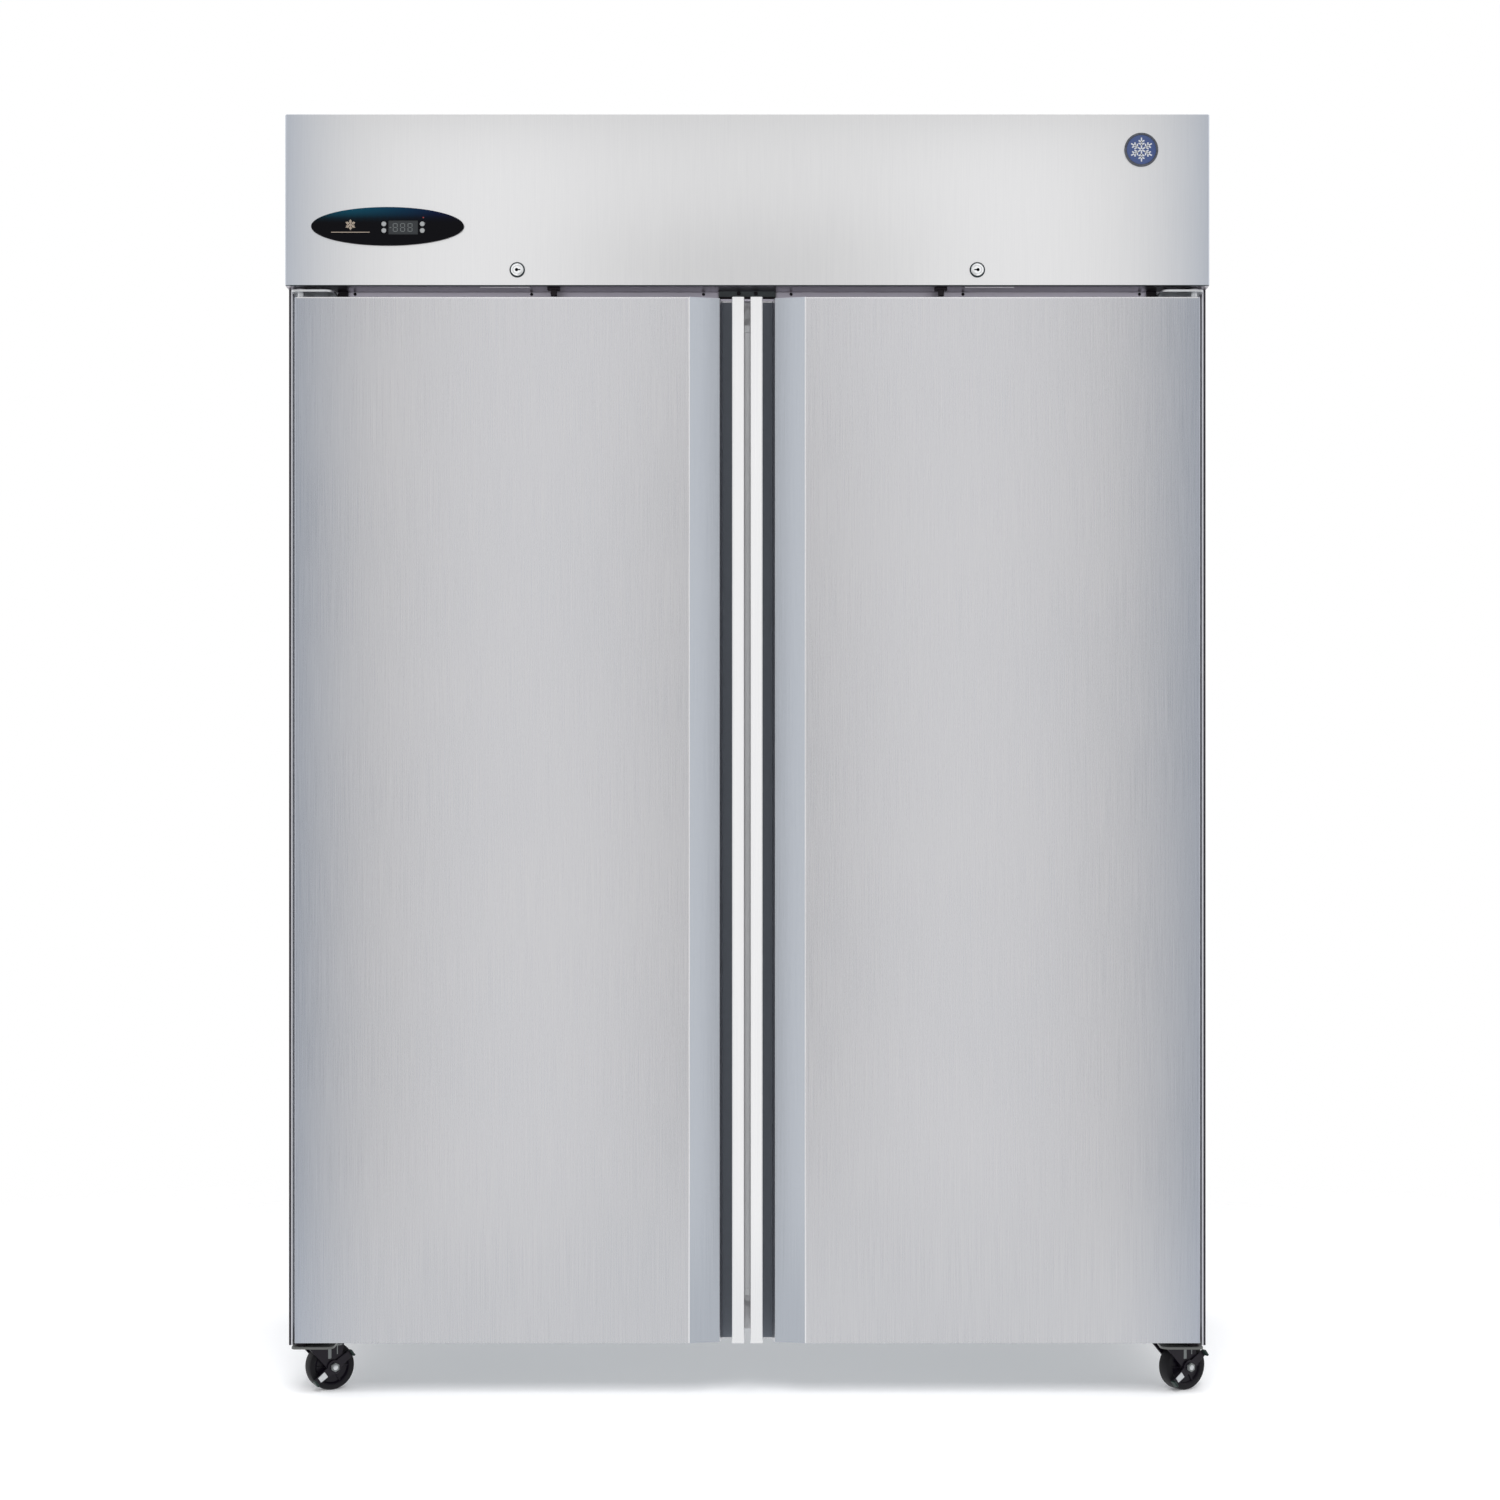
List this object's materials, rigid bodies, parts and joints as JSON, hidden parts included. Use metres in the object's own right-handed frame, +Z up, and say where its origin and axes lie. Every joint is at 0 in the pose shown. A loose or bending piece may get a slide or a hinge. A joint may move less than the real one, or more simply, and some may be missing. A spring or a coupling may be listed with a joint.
{
  "type": "reach-in refrigerator",
  "caption": "Upright two-section commercial refrigerator with flat hinged doors, full-height handle bars, shelves, a cooling unit behind a header panel, and braked casters.",
  "frame": {"origin": "on the floor under the middle of the object", "axes": "+Z up, the doors and the header face -Y, +X to the right of someone facing the doors"},
  "size_m": [1.422, 0.812, 1.947],
  "materials": {
    "stainless": "vertical brushed grain, satin",
    "liner_steel": "satin",
    "galvanised": "spangled zinc coating",
    "foam": "matte closed-cell foam",
    "door_liner": "matte moulded",
    "gasket": "matte",
    "handle": "bright polished",
    "zinc_steel": "zinc plated",
    "lock_chrome": "satin chrome",
    "shelf_wire": "bright plated wire",
    "compressor_black": "semi-gloss black paint",
    "coil_fins": "thin bare fins",
    "fan_plastic": "matte moulded",
    "black_plastic": "smooth gloss",
    "caster_black": "black plated, worn edges",
    "caster_tread": "moulded black tread"
  },
  "bodies": {
    "cabinet": {"side_panel_left": "stainless", "side_panel_right": "stainless", "back_panel": "galvanised", "deck_panel": "galvanised", "base_panel": "galvanised", "insulation": "foam", "inner_liner": "liner_steel", "mullion": "stainless", "shelf_left_1": "shelf_wire", "shelf_left_2": "shelf_wire", "shelf_left_3": "shelf_wire", "shelf_right_1": "shelf_wire", "shelf_right_2": "shelf_wire", "shelf_right_3": "shelf_wire", "header_panel": "stainless", "control_bezel": "black_plastic", "lock_body_left": "lock_chrome", "lock_body_right": "lock_chrome", "hinge_top_left": "zinc_steel", "hinge_top_right": "zinc_steel", "hinge_bottom_left": "zinc_steel", "hinge_bottom_right": "zinc_steel", "compressor": "compressor_black", "condenser": "coil_fins", "control_box": "galvanised", "power_gland": "black_plastic", "evaporator_housing": "stainless", "evaporator_coil": "coil_fins", "caster_plate_front_left": "zinc_steel", "caster_plate_front_right": "zinc_steel", "caster_plate_rear_left": "zinc_steel", "caster_plate_rear_right": "zinc_steel"},
    "door_left": {"door_skin_left": "stainless", "door_core_left": "foam", "door_liner_left": "door_liner", "door_gasket_left": "gasket", "door_handle_left": "handle"},
    "door_right": {"door_skin_right": "stainless", "door_core_right": "foam", "door_liner_right": "door_liner", "door_gasket_right": "gasket", "door_handle_right": "handle"},
    "button_1": {"button_1": "black_plastic"},
    "button_2": {"button_2": "black_plastic"},
    "button_3": {"button_3": "black_plastic"},
    "button_4": {"button_4": "black_plastic"},
    "lock_left": {"lock_cylinder_left": "lock_chrome"},
    "lock_right": {"lock_cylinder_right": "lock_chrome"},
    "condenser_fan": {"condenser_fan": "fan_plastic"},
    "evaporator_fan": {"evaporator_fan": "fan_plastic"},
    "caster_front_left": {"caster_fork_front_left": "caster_black"},
    "caster_front_right": {"caster_fork_front_right": "caster_black"},
    "caster_rear_left": {"caster_fork_rear_left": "caster_black"},
    "caster_rear_right": {"caster_fork_rear_right": "caster_black"},
    "wheel_front_left": {"caster_wheel_front_left": "caster_tread"},
    "wheel_front_right": {"caster_wheel_front_right": "caster_tread"},
    "wheel_rear_left": {"caster_wheel_rear_left": "caster_tread"},
    "wheel_rear_right": {"caster_wheel_rear_right": "caster_tread"},
    "brake_front_left": {"caster_brake_front_left": "caster_black"},
    "brake_front_right": {"caster_brake_front_right": "caster_black"}
  },
  "joints": [
    {"name": "door_left_hinge", "type": "hinge", "parent": "cabinet", "child": "door_left", "pos_m": [-0.677, -0.38, 0.88], "axis": [0, 0, -1], "range_deg": [0, 120], "stiffness_Nm_per_rad": 1.5},
    {"name": "door_right_hinge", "type": "hinge", "parent": "cabinet", "child": "door_right", "pos_m": [0.677, -0.38, 0.88], "axis": [0, 0, 1], "range_deg": [0, 120], "stiffness_Nm_per_rad": 1.5},
    {"name": "button_1_press", "type": "slide", "parent": "cabinet", "child": "button_1", "axis": [0, 1, 0], "range_m": [0, 0.0008], "stiffness_N_per_m": 800},
    {"name": "button_2_press", "type": "slide", "parent": "cabinet", "child": "button_2", "axis": [0, 1, 0], "range_m": [0, 0.0008], "stiffness_N_per_m": 800},
    {"name": "button_3_press", "type": "slide", "parent": "cabinet", "child": "button_3", "axis": [0, 1, 0], "range_m": [0, 0.0008], "stiffness_N_per_m": 800},
    {"name": "button_4_press", "type": "slide", "parent": "cabinet", "child": "button_4", "axis": [0, 1, 0], "range_m": [0, 0.0008], "stiffness_N_per_m": 800},
    {"name": "lock_left_turn", "type": "hinge", "parent": "cabinet", "child": "lock_left", "pos_m": [-0.3475, -0.39, 1.7116], "axis": [0, -1, 0], "range_deg": [0, 90]},
    {"name": "lock_right_turn", "type": "hinge", "parent": "cabinet", "child": "lock_right", "pos_m": [0.3475, -0.39, 1.7116], "axis": [0, 1, 0], "range_deg": [0, 90]},
    {"name": "condenser_fan_spin", "type": "hinge", "parent": "cabinet", "child": "condenser_fan", "pos_m": [-0.13, 0.256, 1.812], "axis": [0, 1, 0], "continuous": true},
    {"name": "evaporator_fan_spin", "type": "hinge", "parent": "cabinet", "child": "evaporator_fan", "pos_m": [0, -0.024, 1.552], "axis": [0, 1, 0], "continuous": true},
    {"name": "caster_front_left_swivel", "type": "hinge", "parent": "cabinet", "child": "caster_front_left", "pos_m": [-0.659, -0.3, 0.09], "axis": [0, 0, 1], "continuous": true},
    {"name": "caster_front_right_swivel", "type": "hinge", "parent": "cabinet", "child": "caster_front_right", "pos_m": [0.659, -0.3, 0.09], "axis": [0, 0, 1], "continuous": true},
    {"name": "caster_rear_left_swivel", "type": "hinge", "parent": "cabinet", "child": "caster_rear_left", "pos_m": [-0.659, 0.3, 0.09], "axis": [0, 0, 1], "continuous": true},
    {"name": "caster_rear_right_swivel", "type": "hinge", "parent": "cabinet", "child": "caster_rear_right", "pos_m": [0.659, 0.3, 0.09], "axis": [0, 0, 1], "continuous": true},
    {"name": "wheel_front_left_spin", "type": "hinge", "parent": "caster_front_left", "child": "wheel_front_left", "pos_m": [-0.64601, -0.2925, 0.03704], "axis": [0.5, -0.866, 0], "continuous": true},
    {"name": "wheel_front_right_spin", "type": "hinge", "parent": "caster_front_right", "child": "wheel_front_right", "pos_m": [0.67199, -0.2925, 0.03704], "axis": [0.5, -0.866, 0], "continuous": true},
    {"name": "wheel_rear_left_spin", "type": "hinge", "parent": "caster_rear_left", "child": "wheel_rear_left", "pos_m": [-0.67199, 0.3075, 0.03704], "axis": [0.5, 0.866, 0], "continuous": true},
    {"name": "wheel_rear_right_spin", "type": "hinge", "parent": "caster_rear_right", "child": "wheel_rear_right", "pos_m": [0.66288, 0.31449, 0.03704], "axis": [0.9659, -0.2588, 0], "continuous": true},
    {"name": "brake_front_left_press", "type": "hinge", "parent": "caster_front_left", "child": "brake_front_left", "pos_m": [-0.64601, -0.2925, 0.03704], "axis": [-0.5, 0.866, 0], "range_deg": [0, 20]},
    {"name": "brake_front_right_press", "type": "hinge", "parent": "caster_front_right", "child": "brake_front_right", "pos_m": [0.67199, -0.2925, 0.03704], "axis": [-0.5, 0.866, 0], "range_deg": [0, 20]}
  ]
}
